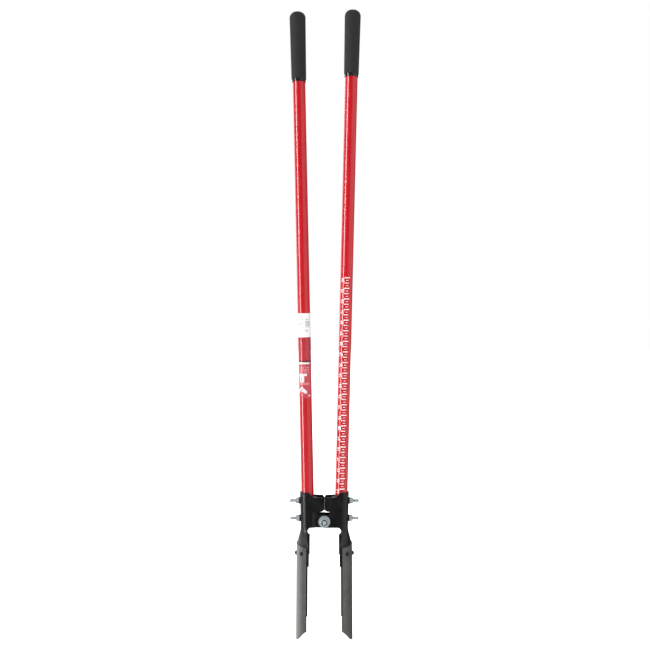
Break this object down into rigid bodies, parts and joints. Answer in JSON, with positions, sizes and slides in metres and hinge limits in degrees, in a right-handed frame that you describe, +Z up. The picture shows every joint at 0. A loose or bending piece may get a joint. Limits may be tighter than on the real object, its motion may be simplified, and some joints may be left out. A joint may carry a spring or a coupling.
{
  "type": "post hole digger",
  "caption": "Clamshell post hole digger: long tube handles with foam grips, bolted in pressed yokes that hinge on one bolt, with curved digging blades riveted below.",
  "frame": {"origin": "on the ground midway between the tips of the blades, under the pivot, with the tool upright and its blades open", "axes": "+Z up, +X from the left handle towards the right handle, +Y away from the side where the pivot's lock nut shows"},
  "size_m": [0.1709, 0.1132, 1.5149],
  "materials": {
    "handle_tube": "glossy red fibreglass",
    "core_plug": "bare",
    "grip": "matte foam",
    "grip_collar": "glossy",
    "yoke": "black powder coat",
    "blade": "dark grey lacquered steel",
    "rivet": "dark",
    "zinc": "bright zinc",
    "product_label": "printed film",
    "barcode_label": "printed film"
  },
  "bodies": {
    "left_half": {"left_handle_tube": "handle_tube", "left_core_plug": "core_plug", "left_grip": "grip", "left_grip_collar": "grip_collar", "left_yoke": "yoke", "left_blade": "blade", "left_rivet_middle": "rivet", "left_rivet_front": "rivet", "left_rivet_rear": "rivet", "left_upper_bolt": "zinc", "left_upper_nut": "zinc", "left_upper_nut_washer": "zinc", "left_upper_head_washer": "zinc", "left_lower_bolt": "zinc", "left_lower_nut": "zinc", "left_lower_nut_washer": "zinc", "left_lower_head_washer": "zinc", "product_label": "product_label", "barcode_label": "barcode_label", "pivot_bolt": "zinc", "pivot_lock_nut": "zinc", "pivot_front_washer": "zinc", "pivot_rear_washer": "zinc", "pivot_spacer": "zinc"},
    "right_half": {"right_handle_tube": "handle_tube", "right_core_plug": "core_plug", "right_grip": "grip", "right_grip_collar": "grip_collar", "right_yoke": "yoke", "right_blade": "blade", "right_rivet_middle": "rivet", "right_rivet_front": "rivet", "right_rivet_rear": "rivet", "right_upper_bolt": "zinc", "right_upper_nut": "zinc", "right_upper_nut_washer": "zinc", "right_upper_head_washer": "zinc", "right_lower_bolt": "zinc", "right_lower_nut": "zinc", "right_lower_nut_washer": "zinc", "right_lower_head_washer": "zinc"}
  },
  "joints": [
    {"name": "pivot_hinge", "type": "hinge", "parent": "left_half", "child": "right_half", "pos_m": [0, 0, 0.287], "axis": [0, 1, 0], "range_deg": [0, 18]}
  ]
}
